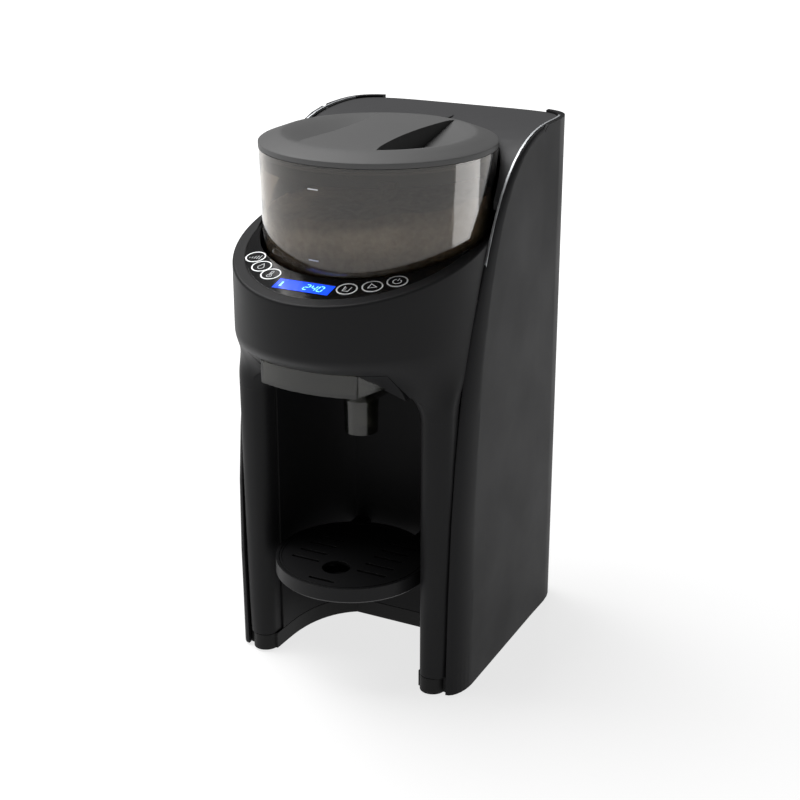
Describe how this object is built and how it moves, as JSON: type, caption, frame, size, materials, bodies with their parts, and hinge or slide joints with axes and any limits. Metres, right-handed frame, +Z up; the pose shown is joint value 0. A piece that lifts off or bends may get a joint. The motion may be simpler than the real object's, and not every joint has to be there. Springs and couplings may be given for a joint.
{
  "type": "baby formula maker",
  "caption": "Countertop formula maker with a lidded powder container, sloping button panel, mixing funnel over a bottle bay, drip tray and rear water tank.",
  "frame": {"origin": "middle of the footprint, on the table under the rubber feet", "axes": "+Z up, +Y towards the back of the machine, +X to the right seen from the front"},
  "size_m": [0.163, 0.2287, 0.3426],
  "materials": {
    "housing_black": "fine matt grain",
    "base_black": "matt",
    "wing_grey": "satin",
    "deck_grey": "satin",
    "lid_grey": "matt",
    "trim_silver": "satin plated",
    "panel_black": "gloss",
    "button_black": "gloss",
    "display_blue": "clear, lit from behind",
    "container_smoke": "clear moulded",
    "funnel_smoke": "clear moulded",
    "tank_smoke": "clear moulded",
    "skirt_blue_grey": "matt",
    "tray_black": "matt",
    "inner_white": "as moulded",
    "inner_black": "as moulded",
    "board_green": "solder mask",
    "steel": "plain",
    "bearing_bronze": "plain",
    "seal_rubber": "matt",
    "hose_silicone": "satin",
    "foot_rubber": "matt"
  },
  "bodies": {
    "machine": {"base_tray": "base_black", "rubber_feet": "foot_rubber", "base_screws": "steel", "front_housing": "housing_black", "bay_liner": "housing_black", "left_wing": "wing_grey", "right_wing": "wing_grey", "left_edge_trim": "trim_silver", "right_edge_trim": "trim_silver", "rear_housing": "housing_black", "head_floor": "inner_black", "container_seat": "inner_black", "seat_seal": "seal_rubber", "powder_chute": "inner_white", "control_panel": "panel_black", "button_rings": "trim_silver", "display_window": "display_blue", "display_module": "inner_black", "button_board": "board_green", "gear_motor": "steel", "motor_screws": "steel", "drive_bush": "bearing_bronze", "water_pump": "inner_black", "pump_mount": "seal_rubber", "heater": "steel", "heater_clips": "inner_black", "tank_hose": "hose_silicone", "pump_hose": "hose_silicone", "nozzle_hose": "hose_silicone", "water_nozzle": "inner_white", "main_board": "board_green", "power_board": "board_green", "funnel_switch": "inner_black", "cord_gland": "foot_rubber", "tank_seal": "seal_rubber"},
    "drive": {"drive_gear": "inner_white"},
    "pinion": {"motor_pinion": "inner_white"},
    "container": {"powder_container": "container_smoke"},
    "stirrer": {"stirring_wheel": "inner_white"},
    "container_lid": {"container_lid": "lid_grey", "lid_skirt": "skirt_blue_grey", "lid_seal": "seal_rubber"},
    "funnel": {"mixing_funnel": "funnel_smoke"},
    "tray": {"drip_tray": "tray_black"},
    "tray_cover": {"tray_cover": "tray_black"},
    "tank": {"water_tank": "tank_smoke", "valve_cap": "inner_white"},
    "tank_lid": {"tank_lid": "deck_grey"},
    "valve": {"tank_valve": "inner_white"},
    "button_level": {"button_level": "button_black"},
    "button_water": {"button_water": "button_black"},
    "button_warmth": {"button_warmth": "button_black"},
    "button_amount": {"button_amount": "button_black"},
    "button_start": {"button_start": "button_black"},
    "button_power": {"button_power": "button_black"}
  },
  "joints": [
    {"name": "drive_spin", "type": "hinge", "parent": "machine", "child": "drive", "pos_m": [0, -0.0107, 0.243], "axis": [0, 0, 1], "continuous": true},
    {"name": "pinion_spin", "type": "hinge", "parent": "machine", "child": "pinion", "pos_m": [0, 0.0268, 0.243], "axis": [0, 0, 1], "continuous": true},
    {"name": "container_lift", "type": "slide", "parent": "machine", "child": "container", "axis": [0, 0, 1], "range_m": [0, 0.09]},
    {"name": "stirrer_spin", "type": "hinge", "parent": "container", "child": "stirrer", "pos_m": [0, -0.0107, 0.26], "axis": [0, 0, 1], "continuous": true},
    {"name": "container_lid_lift", "type": "slide", "parent": "container", "child": "container_lid", "axis": [0, 0, 1], "range_m": [0, 0.05]},
    {"name": "funnel_slide", "type": "slide", "parent": "machine", "child": "funnel", "axis": [0, -1, 0], "range_m": [0, 0.11]},
    {"name": "tray_slide", "type": "slide", "parent": "machine", "child": "tray", "axis": [0, -1, 0], "range_m": [0, 0.12]},
    {"name": "tray_cover_lift", "type": "slide", "parent": "tray", "child": "tray_cover", "axis": [0, 0, 1], "range_m": [0, 0.03]},
    {"name": "tank_lift", "type": "slide", "parent": "machine", "child": "tank", "axis": [0, 0, 1], "range_m": [0, 0.28]},
    {"name": "tank_lid_lift", "type": "slide", "parent": "tank", "child": "tank_lid", "axis": [0, 0, 1], "range_m": [0, 0.06]},
    {"name": "valve_slide", "type": "slide", "parent": "tank", "child": "valve", "axis": [0, 0, 1], "range_m": [0, 0.0025], "stiffness_N_per_m": 120},
    {"name": "button_level_press", "type": "slide", "parent": "machine", "child": "button_level", "axis": [0, 0.2425, -0.9701], "range_m": [0, 0.0006], "stiffness_N_per_m": 400},
    {"name": "button_water_press", "type": "slide", "parent": "machine", "child": "button_water", "axis": [0, 0.2425, -0.9701], "range_m": [0, 0.0006], "stiffness_N_per_m": 400},
    {"name": "button_warmth_press", "type": "slide", "parent": "machine", "child": "button_warmth", "axis": [0, 0.2425, -0.9701], "range_m": [0, 0.0006], "stiffness_N_per_m": 400},
    {"name": "button_amount_press", "type": "slide", "parent": "machine", "child": "button_amount", "axis": [0, 0.2425, -0.9701], "range_m": [0, 0.0006], "stiffness_N_per_m": 400},
    {"name": "button_start_press", "type": "slide", "parent": "machine", "child": "button_start", "axis": [0, 0.2425, -0.9701], "range_m": [0, 0.0006], "stiffness_N_per_m": 400},
    {"name": "button_power_press", "type": "slide", "parent": "machine", "child": "button_power", "axis": [0, 0.2425, -0.9701], "range_m": [0, 0.0006], "stiffness_N_per_m": 400}
  ],
  "couplings": [
    {"joint": "pinion_spin", "follows": "drive_spin", "ratio": -2.5714},
    {"joint": "stirrer_spin", "follows": "drive_spin", "ratio": 1}
  ]
}
